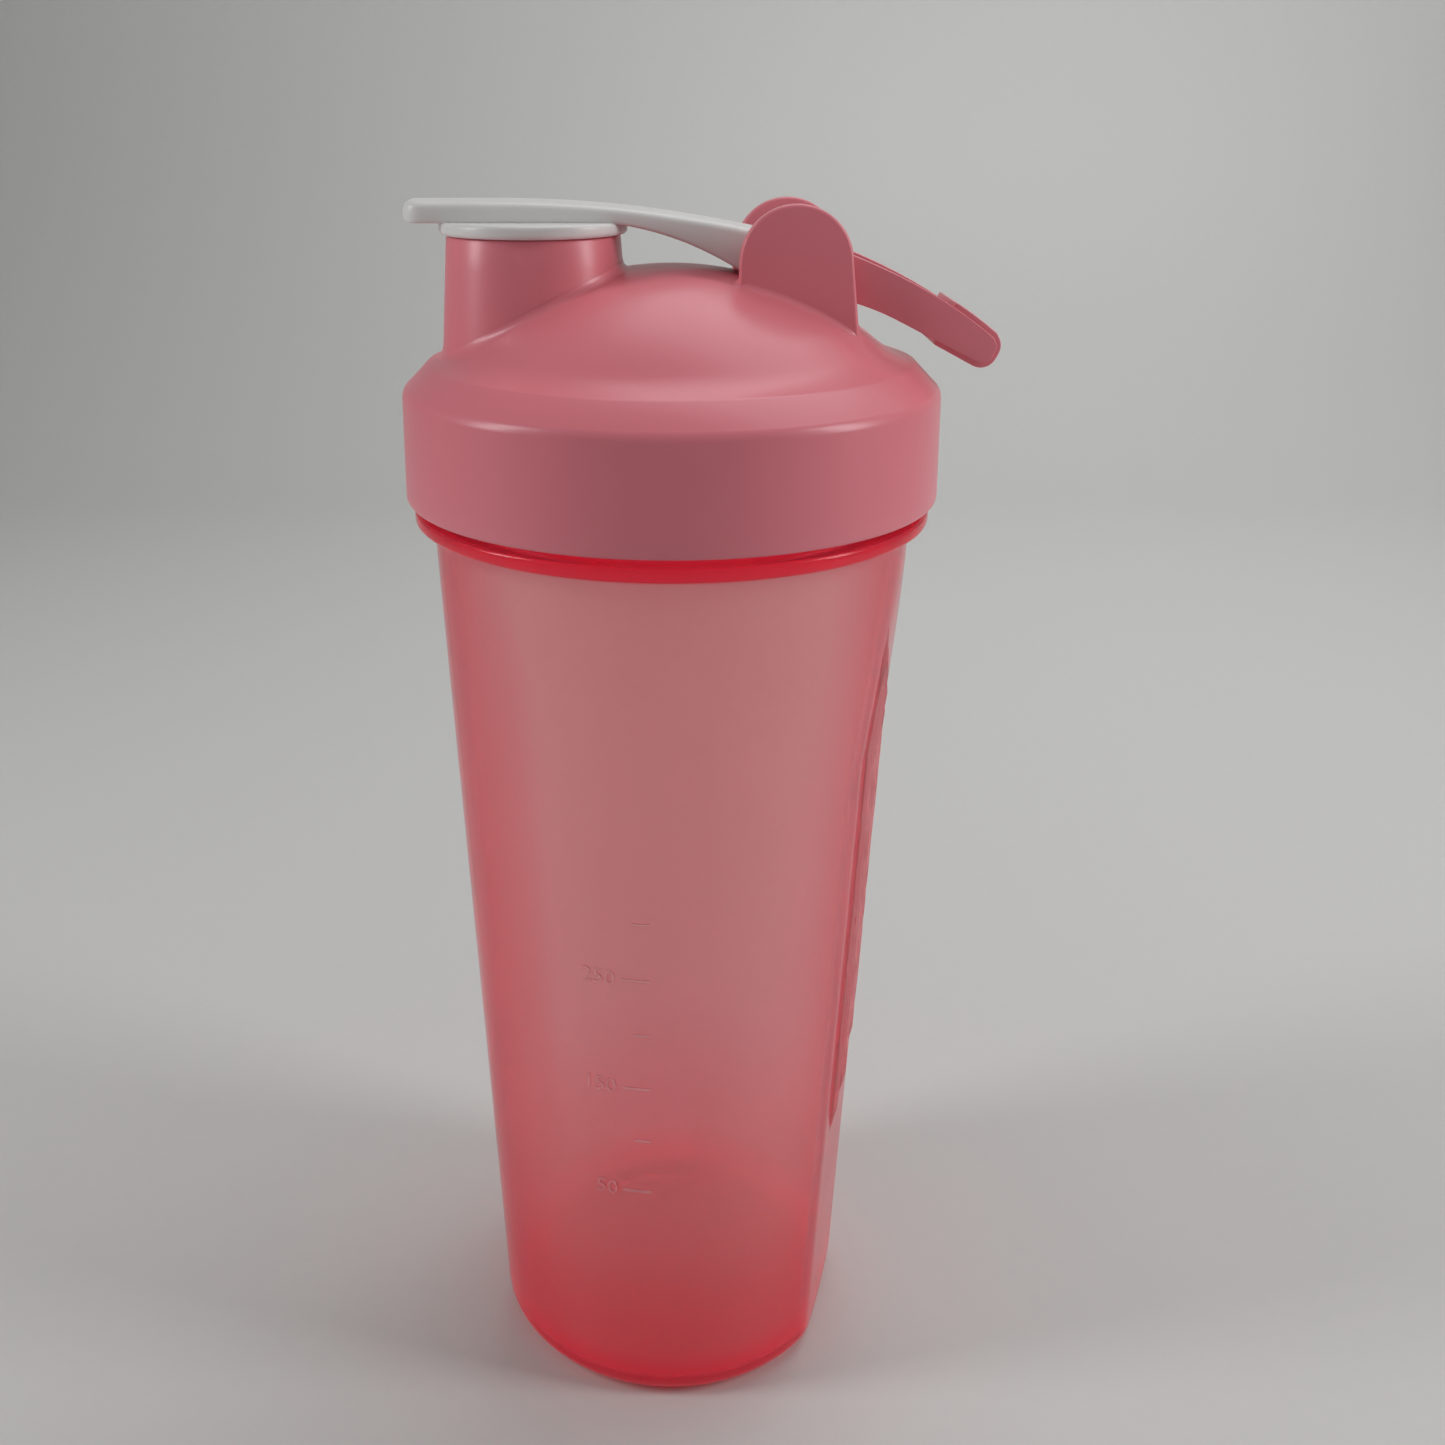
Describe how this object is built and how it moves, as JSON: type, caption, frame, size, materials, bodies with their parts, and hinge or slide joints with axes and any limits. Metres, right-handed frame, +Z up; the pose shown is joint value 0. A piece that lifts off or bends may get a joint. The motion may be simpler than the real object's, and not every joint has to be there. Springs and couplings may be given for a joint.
{
  "type": "protein shaker bottle",
  "caption": "Tapered translucent cup with grip flats and a screw lid that carries a spout, a hinged flip cap with a plug, and a carry loop on the same pin.",
  "frame": {"origin": "centre of the flat base, on the cup's axis", "axes": "+Z up along the cup's axis, spout towards -X, hinge and carry loop towards +X, hinge axis along Y"},
  "size_m": [0.1018, 0.093, 0.2185],
  "materials": {
    "cup": "translucent frosted polypropylene",
    "lid": "satin pink polypropylene",
    "cap": "satin white polypropylene",
    "grid": "moulded",
    "pin": "moulded",
    "seal": "soft silicone"
  },
  "bodies": {
    "cup": {"bottle_body": "cup"},
    "gasket": {"lid_gasket": "seal"},
    "lid": {"screw_lid": "lid", "mixing_grid": "grid", "hinge_pin": "pin"},
    "cap": {"flip_cap": "cap", "spout_stopper": "cap", "stopper_seal": "seal"},
    "loop": {"carry_loop": "lid"}
  },
  "joints": [
    {"name": "lid_lift", "type": "slide", "parent": "cup", "child": "gasket", "axis": [0, 0, 1], "range_m": [0, 0.03]},
    {"name": "lid_turn", "type": "hinge", "parent": "gasket", "child": "lid", "pos_m": [0, 0, 0.18], "axis": [0, 0, 1], "range_deg": [0, 1080]},
    {"name": "cap_flip", "type": "hinge", "parent": "lid", "child": "cap", "pos_m": [0.0204, 0, 0.2089], "axis": [0, 1, 0], "range_deg": [0, 160]},
    {"name": "loop_swing", "type": "hinge", "parent": "lid", "child": "loop", "pos_m": [0.0204, 0, 0.2089], "axis": [0, -1, 0], "range_deg": [0, 120]}
  ],
  "couplings": [
    {"joint": "lid_lift", "follows": "lid_turn", "m_per_rad": 0.0015915}
  ]
}
